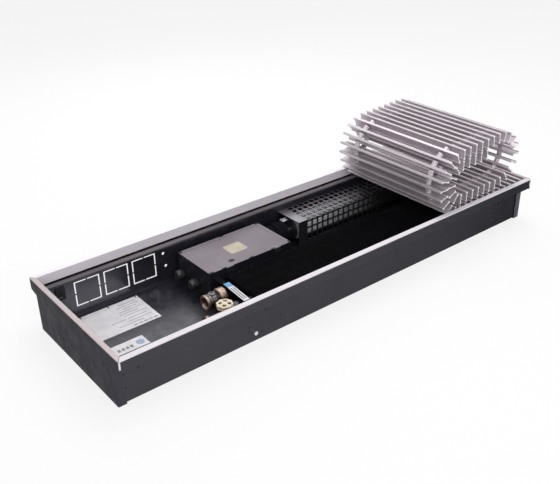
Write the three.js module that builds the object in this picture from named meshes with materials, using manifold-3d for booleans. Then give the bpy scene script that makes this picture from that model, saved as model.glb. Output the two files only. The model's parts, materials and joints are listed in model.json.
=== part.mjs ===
// Trench convector heater: a black steel floor trough with an aluminium frame, a finned heat
// exchanger, a cross-flow fan, an electrical box, two valves and a roll-up aluminium grille that
// stands half rolled up at the right-hand end.
//
// Millimetres. X runs along the trough with the connection space at -X, Y runs to the rear wall and
// Z is up. The origin is the middle of the underside.
import * as THREE from 'three';
import { mergeVertices } from 'three/addons/utils/BufferGeometryUtils.js';
import Module from 'manifold-3d';

const wasm = await Module();
wasm.setup();

// ---- driving dimensions ----
const LENGTH = 800;
const WIDTH = 250;
const HEIGHT = 78;
const HALF_LENGTH = LENGTH / 2;
const HALF_WIDTH = WIDTH / 2;
const SHEET = 1.2; // steel sheet of the trough
const GAP = 0.3; // clearance between touching pieces

// trough section
const WALL_Y = 107.6; // outer face of the long walls
const FLOOR_Z = 1.5; // underside of the floor
const FLOOR_TOP = FLOOR_Z + SHEET;
const LEDGE_Z = 57.3; // where the long wall flares out
const LIP_Y = HALF_WIDTH - 0.4;
const LIP_Z = 60.6; // underside of the flare at the lip
const LIP_TOP = HEIGHT - 1.9;
const END_PLATE = 1.5;
const END_WRAP = 12; // flanges of the end plates round the long walls and the floor

// aluminium frame
const RAIL_WIDTH = 8;
const END_RAIL_WIDTH = 6.5;
const RAIL_THICK = 1.6;
const RAIL_LEG = 14;
const RAIL_LEG_THICK = 1.2;

// roll-up grille
const PITCH = 14.5;
const LAMELLA_HEIGHT = 17;
const LAMELLA_HALF = 114.4;
const FLANGE = 4.4;
const FLANGE_THICK = 2;
const WEB = 1.5;
const BUSH_R = 4.6;
const BUSH_Y = 82;
const BUSH_REACH = 11.5;
const GRILLE_X = 384.25; // first lamella, at the right-hand end of the frame
const GRILLE_Z = HEIGHT - LAMELLA_HEIGHT / 2;
// the grille leaves the frame at its left, curls up and over, back under itself and over once more
const LAYERS = [
  { name: 'grille_bottom_layer', lamellas: 12 },
  { name: 'outer_curl', lamellas: 9, turn: 176.8, spread: -0.14 },
  { name: 'grille_top_layer', lamellas: 7 },
  { name: 'right_curl', lamellas: 9, turn: 183.2, spread: 0.25 },
  { name: 'grille_middle_layer', lamellas: 7 },
  { name: 'inner_curl', lamellas: 5, turn: 176.8, spread: -0.2 },
  { name: 'grille_inner_layer', lamellas: 5 },
];

// heat exchanger
const TUBE_R = 7.5;
const TUBE_Z = 31;
const TUBE_REAR_Y = -25;
const TUBE_FRONT_Y = -62;
const FIN_LEFT = -158;
const FIN_RIGHT = 332;
const FIN_COUNT = 23;
const FIN_THICK = 1;
const FIN_FRONT_Y = -92;
const FIN_REAR_Y = 0;
const FIN_BOTTOM = 8;
const FIN_TOP = 45;
const BRACKET_LEFT = -170;
const BRACKET_RIGHT = 342;

// fan
const FAN_Y = 78;
const FAN_Z = 27;
const FAN_LEFT = 24;
const FAN_RIGHT = 344;
const IMPELLER_R = 19;
const SHAFT_R = 3;

// electrical box
const BOX_LEFT = -180;
const BOX_RIGHT = -27;
const BOX_FRONT = 10;
const BOX_REAR = 95;
const LID_TOP = 50;

// ---- solids and joins ----
const AXES = {
  x: new THREE.Matrix4().makeBasis(
    new THREE.Vector3(0, 1, 0), new THREE.Vector3(0, 0, 1), new THREE.Vector3(1, 0, 0)),
  y: new THREE.Matrix4().makeBasis(
    new THREE.Vector3(1, 0, 0), new THREE.Vector3(0, 0, 1), new THREE.Vector3(0, -1, 0)),
  z: new THREE.Matrix4(),
};

function toSolid(geometry) {
  const bare = geometry.clone();
  bare.deleteAttribute('normal');
  bare.deleteAttribute('uv');
  const merged = mergeVertices(bare, 1e-4);
  const vertProperties = new Float32Array(merged.attributes.position.array);
  const triVerts = new Uint32Array(merged.index.array);
  return new wasm.Manifold(new wasm.Mesh({ numProp: 3, vertProperties, triVerts }));
}

function toGeometry(solid) {
  const mesh = solid.getMesh();
  const geometry = new THREE.BufferGeometry();
  geometry.setAttribute('position', new THREE.BufferAttribute(mesh.vertProperties, 3));
  geometry.setIndex(new THREE.BufferAttribute(mesh.triVerts, 1));
  geometry.computeVertexNormals();
  return geometry;
}

function join(...geometries) {
  return toGeometry(geometries.map(toSolid).reduce((all, next) => all.add(next)));
}

function cut(geometry, ...tools) {
  return toGeometry(tools.map(toSolid).reduce((all, tool) => all.subtract(tool), toSolid(geometry)));
}

// a box between two limits on each axis
function box([x0, x1], [y0, y1], [z0, z1]) {
  const geometry = new THREE.BoxGeometry(x1 - x0, y1 - y0, z1 - z0);
  return geometry.translate((x0 + x1) / 2, (y0 + y1) / 2, (z0 + z1) / 2);
}

// an outline extruded along an axis: points are (y, z) along x, (x, z) along y and (x, y) along z
function prism(axis, outline, [from, to]) {
  const shape = outline instanceof THREE.Shape
    ? outline
    : new THREE.Shape(outline.map(([u, v]) => new THREE.Vector2(u, v)));
  const geometry = new THREE.ExtrudeGeometry(shape, {
    depth: to - from, bevelEnabled: false, curveSegments: 4,
  });
  geometry.applyMatrix4(AXES[axis]);
  if (axis === 'x') geometry.translate(from, 0, 0);
  if (axis === 'y') geometry.translate(0, to, 0);
  if (axis === 'z') geometry.translate(0, 0, from);
  return geometry;
}

// a round bar along an axis, centred on the two other coordinates
function bar(axis, radius, [from, to], [u, v], sides = 16) {
  const geometry = new THREE.CylinderGeometry(radius, radius, to - from, sides);
  const middle = (from + to) / 2;
  if (axis === 'x') return geometry.rotateZ(Math.PI / 2).translate(middle, u, v);
  if (axis === 'y') return geometry.translate(u, middle, v);
  return geometry.rotateX(Math.PI / 2).translate(u, v, middle);
}

function finish(color, roughness, metalness) {
  return () => new THREE.MeshStandardMaterial({ color, roughness, metalness });
}

const blackSteel = finish(0x2b2b30, 0.55, 0.3);
const lidSteel = finish(0x8a838d, 0.6, 0.2);
const anodised = finish(0xd9d7dc, 0.35, 0.9);
const grilleSilver = finish(0xb9b8bb, 0.4, 0.9);
const darkFin = finish(0x16161a, 0.6, 0.3);
const darkCopper = finish(0x3a302b, 0.5, 0.5);
const bronze = finish(0x9c8168, 0.4, 0.8);
const nickel = finish(0x6d6a6a, 0.35, 0.9);
const creamPlastic = finish(0xe6dcc4, 0.5, 0);
const blackPlastic = finish(0x1a1a1c, 0.45, 0);
const blackRubber = finish(0x24242a, 0.8, 0);
const greySteel = finish(0x7f7f86, 0.45, 0.8);
const greenPlastic = finish(0x6f8f78, 0.5, 0);

const heater = new THREE.Group();

function add(name, geometry, material, parent = heater) {
  const mesh = new THREE.Mesh(geometry, material());
  mesh.name = name;
  parent.add(mesh);
  return mesh;
}

// ---- trough ----
const KNOCKOUT = 40;
const KNOCKOUT_STEP = 46.5;
const KNOCKOUT_LEFT = -346;
const KNOCKOUT_BOTTOM = 16;
const SLIT = 2.2;
const TAB = 1.8;

// the four corner slits round one square knock-out
function knockoutSlits(left, bottom, yRange) {
  const slits = [];
  const half = KNOCKOUT / 2;
  const arm = half - TAB / 2;
  for (const sideX of [-1, 1]) {
    for (const sideZ of [-1, 1]) {
      const cornerX = left + half + sideX * half;
      const cornerZ = bottom + half + sideZ * half;
      const alongX = [cornerX, cornerX - sideX * arm].sort((a, b) => a - b);
      const alongZ = [cornerZ, cornerZ - sideZ * arm].sort((a, b) => a - b);
      const thickX = [cornerX, cornerX - sideX * SLIT].sort((a, b) => a - b);
      const thickZ = [cornerZ, cornerZ - sideZ * SLIT].sort((a, b) => a - b);
      slits.push(join(box(alongX, yRange, thickZ), box(thickX, yRange, alongZ)));
    }
  }
  return slits;
}

function troughOutline() {
  const outer = [
    [-WALL_Y, FLOOR_Z], [WALL_Y, FLOOR_Z], [WALL_Y, LEDGE_Z], [LIP_Y, LIP_Z], [LIP_Y, LIP_TOP],
  ];
  const inner = [
    [LIP_Y - SHEET, LIP_TOP], [LIP_Y - SHEET, LIP_Z + 1],
    [WALL_Y - SHEET, LEDGE_Z + 1], [WALL_Y - SHEET, FLOOR_TOP],
  ];
  const mirrored = (points) => points.map(([y, z]) => [-y, z]).reverse();
  return [...outer, ...inner, ...mirrored(inner), ...mirrored(outer.slice(2))];
}

const EARTH_X = -190;
const EARTH_Z = 16.5;
const EARTH_R = 3;

function trough() {
  const inside = HALF_LENGTH - END_PLATE - GAP;
  const shell = prism('x', troughOutline(), [-inside, inside]);
  const rearWall = [WALL_Y - SHEET - 1, WALL_Y + 1];
  const frontWall = [-WALL_Y - 1, -WALL_Y + SHEET + 1];
  const holes = [];
  for (let i = 0; i < 3; i += 1) {
    holes.push(...knockoutSlits(KNOCKOUT_LEFT + i * KNOCKOUT_STEP, KNOCKOUT_BOTTOM, rearWall));
  }
  holes.push(box([-371, -363], rearWall, [40, 55])); // cable way
  holes.push(bar('y', 2.5, rearWall, [-199, 50], 8));
  holes.push(bar('y', 2.5, rearWall, [-196, 28], 8));
  holes.push(bar('y', EARTH_R + GAP, frontWall, [EARTH_X, EARTH_Z], 12));
  return cut(shell, ...holes);
}

// flat end of the trough with flanges round the long walls and under the floor
function endPlate() {
  const wrapY = WALL_Y + GAP + 1.2;
  const face = prism('x', [
    [-wrapY, 0], [wrapY, 0], [wrapY, LEDGE_Z - 1], [LIP_Y, LIP_Z - 1], [LIP_Y, LIP_TOP],
    [-LIP_Y, LIP_TOP], [-LIP_Y, LIP_Z - 1], [-wrapY, LEDGE_Z - 1],
  ], [0, END_PLATE]);
  const foot = box([0, END_WRAP], [-WALL_Y, WALL_Y], [0, FLOOR_Z - GAP]);
  const sides = [-1, 1].map((side) => {
    const across = [side * (WALL_Y + GAP), side * wrapY].sort((a, b) => a - b);
    return box([0, END_WRAP], across, [0, LEDGE_Z - 2]);
  });
  return join(face, foot, ...sides);
}

const casing = new THREE.Group();
heater.add(casing);
add('trough', trough(), blackSteel, casing);
const endLeft = add('end_plate_left', endPlate(), blackSteel, casing);
endLeft.position.x = -HALF_LENGTH;
const endRight = add('end_plate_right', endPlate(), blackSteel, casing);
endRight.position.x = HALF_LENGTH;
endRight.rotation.z = Math.PI;

// ---- aluminium frame, mitred at the corners ----
function railSection(width) {
  const inner = HEIGHT - RAIL_THICK;
  return [
    [0, HEIGHT], [width, HEIGHT], [width, HEIGHT - RAIL_LEG], [width - RAIL_LEG_THICK, HEIGHT - RAIL_LEG],
    [width - RAIL_LEG_THICK, inner], [0, inner],
  ];
}

// cuts one end of a long rail along the mitre line
function mitre(end) {
  const tip = end * (HALF_LENGTH + 1);
  const back = end * (HALF_LENGTH - END_RAIL_WIDTH - GAP);
  const depth = RAIL_WIDTH + GAP;
  return prism('z', [[tip, -HALF_WIDTH - 1], [tip, -HALF_WIDTH + depth], [back, -HALF_WIDTH + depth],
    [end * (HALF_LENGTH - GAP), -HALF_WIDTH - GAP], [end * (HALF_LENGTH - GAP), -HALF_WIDTH - 1]],
  [HEIGHT - RAIL_LEG - 1, HEIGHT + 1]);
}

function longRail() {
  const section = railSection(RAIL_WIDTH).map(([y, z]) => [y - HALF_WIDTH, z]);
  const rail = prism('x', section, [-HALF_LENGTH, HALF_LENGTH]);
  return cut(rail, mitre(-1), mitre(1));
}

function endRail() {
  const section = railSection(END_RAIL_WIDTH).map(([x, z]) => [x - HALF_LENGTH, z]);
  const rail = prism('y', section, [-HALF_WIDTH + GAP, HALF_WIDTH - GAP]);
  const corners = [-1, 1].map((side) => prism('z', [
    [-HALF_LENGTH - 1, side * (HALF_WIDTH + 1)],
    [-HALF_LENGTH - 1, side * (HALF_WIDTH - 1)],
    [-HALF_LENGTH + GAP, side * (HALF_WIDTH - 1)],
    [-HALF_LENGTH + END_RAIL_WIDTH + 1, side * (HALF_WIDTH - RAIL_WIDTH - 2)],
    [-HALF_LENGTH + END_RAIL_WIDTH + 1, side * (HALF_WIDTH + 1)],
  ], [HEIGHT - RAIL_LEG - 1, HEIGHT + 1]));
  return cut(rail, ...corners);
}

const frame = new THREE.Group();
heater.add(frame);
add('frame_rail_front', longRail(), anodised, frame);
add('frame_rail_rear', longRail(), anodised, frame).rotation.z = Math.PI;
add('frame_rail_left', endRail(), anodised, frame);
add('frame_rail_right', endRail(), anodised, frame).rotation.z = Math.PI;

// rubber strips on the ledges, under the ends of the lamellas
function ledgeStrip() {
  const rise = (y) => LEDGE_Z + 1 + ((LIP_Z - LEDGE_Z) * (y - WALL_Y + SHEET)) / (LIP_Y - WALL_Y);
  const from = WALL_Y;
  const to = HALF_WIDTH - RAIL_WIDTH - 1;
  const top = HEIGHT - LAMELLA_HEIGHT - GAP;
  const outline = [[from, rise(from) + GAP], [to, rise(to) + GAP], [to, top], [from, top]];
  const reach = HALF_LENGTH - END_RAIL_WIDTH - GAP;
  return prism('x', outline, [-reach, reach]);
}

add('ledge_strip_rear', ledgeStrip(), blackRubber, casing);
add('ledge_strip_front', ledgeStrip(), blackRubber, casing).rotation.z = Math.PI;

// ---- roll-up grille ----
// angles in degrees between neighbouring lamellas through one curl, shared unevenly by its spread
function curlAngles(layer) {
  const weights = [];
  for (let k = 0; k <= layer.lamellas; k += 1) {
    weights.push(1 - layer.spread * Math.cos((2 * Math.PI * (k + 0.5)) / (layer.lamellas + 1)));
  }
  const total = weights.reduce((sum, weight) => sum + weight, 0);
  return weights.map((weight) => (layer.turn * weight) / total);
}

// places of all the lamellas along the rolled-up chain: x, z and heading
function rolledChain() {
  const bends = [];
  for (const layer of LAYERS) {
    if (layer.turn) bends.push(...curlAngles(layer));
    else bends.push(...Array(layer.lamellas - 1).fill(0));
  }
  const places = [{ x: GRILLE_X, z: GRILLE_Z, heading: Math.PI }];
  for (const bend of bends) {
    const last = places[places.length - 1];
    const heading = last.heading - THREE.MathUtils.degToRad(bend);
    const reach = PITCH / 2;
    const x = last.x + reach * (Math.cos(last.heading) + Math.cos(heading));
    const z = last.z + reach * (Math.sin(last.heading) + Math.sin(heading));
    places.push({ x, z, heading });
  }
  return places;
}

function lamellaOutline(centre) {
  const top = LAMELLA_HEIGHT / 2;
  const neck = top - FLANGE_THICK;
  const quarter = [[FLANGE / 2, top], [FLANGE / 2, neck], [WEB / 2, neck]];
  const right = [...quarter, ...quarter.map(([x, z]) => [x, -z]).reverse()];
  const left = right.map(([x, z]) => [-x, z]).reverse();
  return [...right, ...left].map(([x, z]) => [x + centre, z]);
}

// a straight run of lamellas with its spacer bushes; the last bushes stop short of the next web
function lamellaRun(count, lastBushes) {
  const solids = [];
  for (let i = 0; i < count; i += 1) {
    solids.push(prism('y', lamellaOutline(i * PITCH), [-LAMELLA_HALF, LAMELLA_HALF]));
    const reach = i < count - 1 ? PITCH : BUSH_REACH;
    if (i === count - 1 && !lastBushes) continue;
    for (const y of [-BUSH_Y, BUSH_Y]) {
      solids.push(bar('x', BUSH_R, [i * PITCH, i * PITCH + reach], [y, 0], 8));
    }
  }
  return join(...solids);
}

const grille = new THREE.Group();
heater.add(grille);

function placeRun(name, geometry, place) {
  const mesh = add(name, geometry, grilleSilver, grille);
  mesh.position.set(place.x, 0, place.z);
  mesh.rotation.y = -place.heading;
}

const chain = rolledChain();
let next = 0;
for (const layer of LAYERS) {
  if (layer.turn) {
    for (let i = 1; i <= layer.lamellas; i += 1) {
      placeRun(`${layer.name}_lamella_${i}`, lamellaRun(1, true), chain[next]);
      next += 1;
    }
  } else {
    const lastBushes = next + layer.lamellas < chain.length;
    placeRun(layer.name, lamellaRun(layer.lamellas, lastBushes), chain[next]);
    next += layer.lamellas;
  }
}

// ---- heat exchanger ----
const exchanger = new THREE.Group();
heater.add(exchanger);

function fins() {
  const step = (FIN_RIGHT - FIN_LEFT - FIN_THICK) / (FIN_COUNT - 1);
  const spineZ = [16, 18];
  const outline = [];
  for (let i = 0; i < FIN_COUNT; i += 1) {
    const left = FIN_LEFT + i * step;
    outline.push([left, FIN_TOP], [left + FIN_THICK, FIN_TOP]);
    if (i < FIN_COUNT - 1) outline.push([left + FIN_THICK, spineZ[1]], [left + step, spineZ[1]]);
  }
  for (let i = FIN_COUNT - 1; i >= 0; i -= 1) {
    const left = FIN_LEFT + i * step;
    outline.push([left + FIN_THICK, FIN_BOTTOM], [left, FIN_BOTTOM]);
    if (i > 0) outline.push([left, spineZ[0]], [left - step + FIN_THICK, spineZ[0]]);
  }
  const comb = prism('y', outline, [FIN_FRONT_Y, FIN_REAR_Y]);
  const bores = [TUBE_REAR_Y, TUBE_FRONT_Y].map((y) => (
    bar('x', TUBE_R + 2 * GAP, [FIN_LEFT - 1, FIN_RIGHT + 1], [y, TUBE_Z], 8)));
  return cut(comb, ...bores);
}

class Bend extends THREE.Curve {
  getPoint(t, target = new THREE.Vector3()) {
    const radius = (TUBE_REAR_Y - TUBE_FRONT_Y) / 2;
    const angle = Math.PI * (t - 0.5);
    const middle = (TUBE_REAR_Y + TUBE_FRONT_Y) / 2;
    const x = BRACKET_RIGHT + 8 + radius * Math.cos(angle);
    return target.set(x, middle + radius * Math.sin(angle), TUBE_Z);
  }
}

function tubeCircuit() {
  const outline = new THREE.Shape();
  outline.absarc(0, 0, TUBE_R, 0, 2 * Math.PI);
  const bend = new THREE.ExtrudeGeometry(outline, { steps: 8, curveSegments: 5, extrudePath: new Bend() });
  const straights = [TUBE_REAR_Y, TUBE_FRONT_Y].map((y) => (
    bar('x', TUBE_R - 0.1, [BRACKET_LEFT - 14, BRACKET_RIGHT + 9], [y, TUBE_Z], 12)));
  return join(bend, ...straights);
}

// sheet bracket that carries one end of the tubes; its top and foot fold away from the fins
function exchangerBracket(x, outward) {
  const width = [FIN_FRONT_Y - 4, FIN_REAR_Y + 3];
  const fold = [x, x + outward * 9].sort((a, b) => a - b);
  const web = [x, x + outward * SHEET].sort((a, b) => a - b);
  const plate = box(web, width, [FLOOR_TOP + GAP, FIN_TOP + 1]);
  const top = box(fold, width, [FIN_TOP + 1 - SHEET, FIN_TOP + 1]);
  const foot = box(fold, width, [FLOOR_TOP + GAP, FLOOR_TOP + GAP + SHEET]);
  const bores = [TUBE_REAR_Y, TUBE_FRONT_Y].map((y) => (
    bar('x', TUBE_R + GAP, [x - 2, x + 2], [y, TUBE_Z], 12)));
  return cut(join(plate, top, foot), ...bores);
}

add('exchanger_fins', fins(), darkFin, exchanger);
add('exchanger_tube', tubeCircuit(), darkCopper, exchanger);
add('exchanger_bracket_left', exchangerBracket(BRACKET_LEFT, -1), blackSteel, exchanger);
add('exchanger_bracket_right', exchangerBracket(BRACKET_RIGHT, 1), blackSteel, exchanger);

// ---- valves ----
const valves = new THREE.Group();
heater.add(valves);
const NUT_LEFT = -192;
const NUT_RIGHT = -180;
const RETURN_NUT_R = 14;
const SUPPLY_NUT_R = 10;

function unionNut(radius, y) {
  const nut = bar('x', radius, [NUT_LEFT, NUT_RIGHT], [y, TUBE_Z], 12);
  return cut(nut, bar('x', TUBE_R + GAP, [NUT_LEFT - 1, NUT_RIGHT + 1], [y, TUBE_Z], 12));
}

// a body turned along x: rings of [radius, left, right, height of the axis]
function turnedBody(rings, y) {
  return join(...rings.map(([radius, left, right, z]) => bar('x', radius, [left, right], [y, z], 16)));
}

const SPINDLE_X = -201;
const SPINDLE_R = 3;
const RETURN_TOP = 43.5;
const RETURN_FACE = -214;

function returnValve() {
  const turned = turnedBody([
    [12, RETURN_FACE, RETURN_FACE + 5, TUBE_Z],
    [11.5, RETURN_FACE + 4, -196, TUBE_Z],
    [8.5, -197, NUT_LEFT - GAP, TUBE_Z],
  ], TUBE_REAR_Y);
  const port = bar('x', 8, [RETURN_FACE - 1, RETURN_FACE + 7], [TUBE_REAR_Y, TUBE_Z], 12);
  const boss = bar('z', 5.5, [TUBE_Z, RETURN_TOP], [SPINDLE_X, TUBE_REAR_Y], 12);
  const well = bar('z', SPINDLE_R + GAP, [RETURN_TOP - 5, RETURN_TOP + 1], [SPINDLE_X, TUBE_REAR_Y], 12);
  return cut(join(turned, boss), port, well);
}

function returnSpindle() {
  const stem = bar('z', SPINDLE_R, [RETURN_TOP - 4.7, RETURN_TOP - 0.5], [0, 0], 12);
  return cut(stem, bar('z', 1.6, [RETURN_TOP - 2.5, RETURN_TOP], [0, 0], 6));
}

const CAP_X = -205;
const CAP_R = 12.5;
const CAP_BOTTOM = 40;
const CAP_TOP = 47;
const CAP_LOBES = 8;
const SUPPLY_FACE = -237;
const SUPPLY_Z = 26.5; // its inlet lies lower than the tube

function supplyValve() {
  const turned = turnedBody([
    [10, SUPPLY_FACE, SUPPLY_FACE + 6, SUPPLY_Z],
    [7.5, SUPPLY_FACE + 5, -197, SUPPLY_Z],
    [8.5, -201, NUT_LEFT - GAP, TUBE_Z],
  ], TUBE_FRONT_Y);
  const port = bar('x', 6.5, [SUPPLY_FACE - 1, SUPPLY_FACE + 7], [TUBE_FRONT_Y, SUPPLY_Z], 12);
  const neck = bar('z', 7, [SUPPLY_Z, CAP_BOTTOM - GAP], [CAP_X, TUBE_FRONT_Y], 12);
  const pin = bar('z', 3, [TUBE_Z, CAP_BOTTOM + 3], [CAP_X, TUBE_FRONT_Y], 12);
  return cut(join(turned, neck, pin), port);
}

// lobed hand cap over the supply valve
function valveCap() {
  const outline = [];
  const steps = CAP_LOBES * 4;
  for (let i = 0; i < steps; i += 1) {
    const angle = (2 * Math.PI * i) / steps;
    const radius = CAP_R - 1 + Math.cos(CAP_LOBES * angle);
    outline.push([radius * Math.cos(angle), radius * Math.sin(angle)]);
  }
  const body = prism('z', outline, [CAP_BOTTOM, CAP_TOP - 1]);
  const crown = bar('z', CAP_R - 3, [CAP_TOP - 1.5, CAP_TOP], [0, 0], 16);
  return cut(join(body, crown), bar('z', 3.4, [CAP_BOTTOM - 1, CAP_BOTTOM + 4], [0, 0], 12));
}

add('return_valve_body', returnValve(), nickel, valves);
add('return_valve_spindle', returnSpindle(), nickel, valves).position.set(SPINDLE_X, TUBE_REAR_Y, 0);
add('supply_valve_body', supplyValve(), bronze, valves);
add('supply_valve_cap', valveCap(), creamPlastic, valves).position.set(CAP_X, TUBE_FRONT_Y, 0);
add('union_nut_return', unionNut(RETURN_NUT_R, TUBE_REAR_Y), bronze, valves);
add('union_nut_supply', unionNut(SUPPLY_NUT_R, TUBE_FRONT_Y), blackSteel, valves);

// ---- fan ----
const fan = new THREE.Group();
heater.add(fan);
const GUARD_FRONT = 50;
const GUARD_REAR = WALL_Y - SHEET - 1;
const GUARD_TOP = 50;
const GUARD_SHEET = 1;
const GUARD_END = 16; // plain stretch before the holes
const GUARD_COLUMNS = 16;
const GUARD_ROWS = 4;
const GUARD_BAR = 4; // sheet left between two holes

// left edges and widths of the columns of holes in both guard sheets
function guardColumns() {
  const step = (FAN_RIGHT - FAN_LEFT - 2 * GUARD_END) / GUARD_COLUMNS;
  return Array.from({ length: GUARD_COLUMNS }, (_, i) => {
    const left = FAN_LEFT + GUARD_END + i * step + GUARD_BAR / 2;
    return [left, left + step - GUARD_BAR];
  });
}

function guardTop() {
  const sheet = box([FAN_LEFT, FAN_RIGHT], [GUARD_FRONT, GUARD_REAR], [GUARD_TOP - GUARD_SHEET, GUARD_TOP]);
  const border = 6;
  const step = (GUARD_REAR - GUARD_FRONT - 2 * border) / GUARD_ROWS;
  const holes = guardColumns().flatMap((across) => Array.from({ length: GUARD_ROWS }, (_, j) => {
    const y = GUARD_FRONT + border + j * step + GUARD_BAR / 2;
    return box(across, [y, y + step - GUARD_BAR], [GUARD_TOP - 4, GUARD_TOP + 1]);
  }));
  return cut(sheet, ...holes);
}

function guardFront() {
  const sheet = box([FAN_LEFT, FAN_RIGHT], [GUARD_FRONT, GUARD_FRONT + GUARD_SHEET],
    [FLOOR_TOP + GAP, GUARD_TOP - GUARD_SHEET - GAP]);
  const holes = guardColumns().map((across) => box(across, [GUARD_FRONT - 1, GUARD_FRONT + 4], [12, 42]));
  return cut(sheet, ...holes);
}

// curved sheet behind and under the impeller
function fanHousing() {
  const facets = 8;
  const arc = (radius) => Array.from({ length: facets + 1 }, (_, i) => {
    const angle = THREE.MathUtils.degToRad(50 - (i * 140) / facets);
    return [FAN_Y + radius * Math.cos(angle), FAN_Z + radius * Math.sin(angle)];
  });
  return prism('x', [...arc(23.4), ...arc(24.2).reverse()], [FAN_LEFT + 3, FAN_RIGHT - 8]);
}

const IMPELLER_LEFT = FAN_LEFT + 4;
const IMPELLER_RIGHT = FAN_RIGHT - 10;
const BLADES = 10;
const DISCS = 4;

function impeller() {
  const solids = [];
  const step = (IMPELLER_RIGHT - IMPELLER_LEFT - 2) / (DISCS - 1);
  for (let i = 0; i < DISCS; i += 1) {
    const left = IMPELLER_LEFT + i * step;
    solids.push(bar('x', IMPELLER_R, [left, left + 2], [0, 0], 20));
  }
  for (let i = 0; i < BLADES; i += 1) {
    const blade = box([IMPELLER_LEFT + 1, IMPELLER_RIGHT - 1], [-3, 3], [-0.5, 0.5]);
    blade.rotateX(THREE.MathUtils.degToRad(60));
    blade.translate(0, 0, IMPELLER_R - 4.5);
    blade.rotateX((2 * Math.PI * i) / BLADES);
    solids.push(blade);
  }
  const bore = bar('x', SHAFT_R + 0.05, [IMPELLER_LEFT - 1, IMPELLER_RIGHT + 1], [0, 0], 12);
  return cut(join(...solids), bore);
}

const MOTOR_LEFT = -18;
const MOTOR_RIGHT = 16;
const MOTOR_R = 18;

function motor() {
  const can = bar('x', MOTOR_R, [MOTOR_LEFT, MOTOR_RIGHT - 4], [FAN_Y, FAN_Z], 20);
  const nose = bar('x', 8, [MOTOR_RIGHT - 5, MOTOR_RIGHT], [FAN_Y, FAN_Z], 12);
  const bore = bar('x', SHAFT_R + GAP, [MOTOR_RIGHT - 12, MOTOR_RIGHT + 1], [FAN_Y, FAN_Z], 12);
  return cut(join(can, nose), bore);
}

// saddle that holds the motor down on the floor
function motorBracket() {
  const inner = MOTOR_R + GAP;
  const outer = inner + 1.5;
  const along = [MOTOR_LEFT + 8, MOTOR_LEFT + 22];
  const ring = bar('x', outer, along, [FAN_Y, FAN_Z], 20);
  const base = box(along, [FAN_Y - 26, FAN_Y + 26], [FLOOR_TOP + GAP, FLOOR_TOP + GAP + 2]);
  const cheeks = box(along, [FAN_Y - 8, FAN_Y + 8], [FLOOR_TOP + GAP, FAN_Z - inner + 2]);
  return cut(join(ring, base, cheeks), bar('x', inner, [MOTOR_LEFT, MOTOR_RIGHT], [FAN_Y, FAN_Z], 20));
}

function bearingBracket() {
  const left = FAN_RIGHT - 6;
  const plate = box([left, left + 2], [FAN_Y - 24, FAN_Y + 24], [FLOOR_TOP + GAP, 46]);
  const boss = bar('x', 7, [left - 2, left + 4], [FAN_Y, FAN_Z], 12);
  return cut(join(plate, boss), bar('x', SHAFT_R + GAP, [left - 3, left + 5], [FAN_Y, FAN_Z], 12));
}

add('fan_guard_top', guardTop(), blackSteel, fan);
add('fan_guard_front', guardFront(), blackSteel, fan);
add('fan_housing', fanHousing(), blackSteel, fan);
add('fan_impeller', impeller(), grilleSilver, fan).position.set(0, FAN_Y, FAN_Z);
add('fan_shaft', bar('x', SHAFT_R, [MOTOR_RIGHT - 11, FAN_RIGHT - 1], [FAN_Y, FAN_Z], 12), greySteel, fan);
add('fan_motor', motor(), blackSteel, fan);
add('motor_bracket', motorBracket(), blackSteel, fan);
add('bearing_bracket', bearingBracket(), blackSteel, fan);

// ---- electrical box ----
const electrics = new THREE.Group();
heater.add(electrics);
const BOX_BASE_TOP = LID_TOP - SHEET - GAP;
const GLAND_Z = 20;
const GLAND_ROWS = [['cable_gland_front', 45], ['cable_gland_rear', 82]];
const GLAND_NECK = 5.5;
const GLAND_INLET = 4;

function boxBase() {
  const shell = box([BOX_LEFT, BOX_RIGHT], [BOX_FRONT, BOX_REAR], [FLOOR_TOP + GAP, BOX_BASE_TOP]);
  const room = box([BOX_LEFT + SHEET, BOX_RIGHT - SHEET], [BOX_FRONT + SHEET, BOX_REAR - SHEET],
    [FLOOR_TOP + GAP + SHEET, BOX_BASE_TOP + 1]);
  const holes = GLAND_ROWS.map(([, y]) => (
    bar('x', GLAND_NECK + GAP, [BOX_LEFT - 1, BOX_LEFT + 3], [y, GLAND_Z], 12)));
  return cut(shell, room, ...holes);
}

// lid with a locating rim inside the walls and two fixing tabs on its front edge
function boxLid() {
  const plate = box([BOX_LEFT, BOX_RIGHT], [BOX_FRONT, BOX_REAR], [LID_TOP - SHEET, LID_TOP]);
  const rimGap = SHEET + GAP;
  const rim = box([BOX_LEFT + rimGap, BOX_RIGHT - rimGap], [BOX_FRONT + rimGap, BOX_REAR - rimGap],
    [LID_TOP - 5, LID_TOP - 0.5]);
  const hollow = box([BOX_LEFT + rimGap + 1, BOX_RIGHT - rimGap - 1],
    [BOX_FRONT + rimGap + 1, BOX_REAR - rimGap - 1], [LID_TOP - 6, LID_TOP - SHEET]);
  const tabs = [-150, -60].map((x) => (
    box([x, x + 12], [BOX_FRONT - GAP - SHEET, BOX_FRONT + 1], [LID_TOP - 8, LID_TOP])));
  const freed = box([BOX_LEFT, BOX_RIGHT], [BOX_FRONT - GAP, BOX_FRONT + rimGap - 0.1],
    [LID_TOP - 9, LID_TOP - SHEET]);
  return join(cut(rim, hollow), plate, ...tabs.map((tab) => cut(tab, freed)));
}

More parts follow.
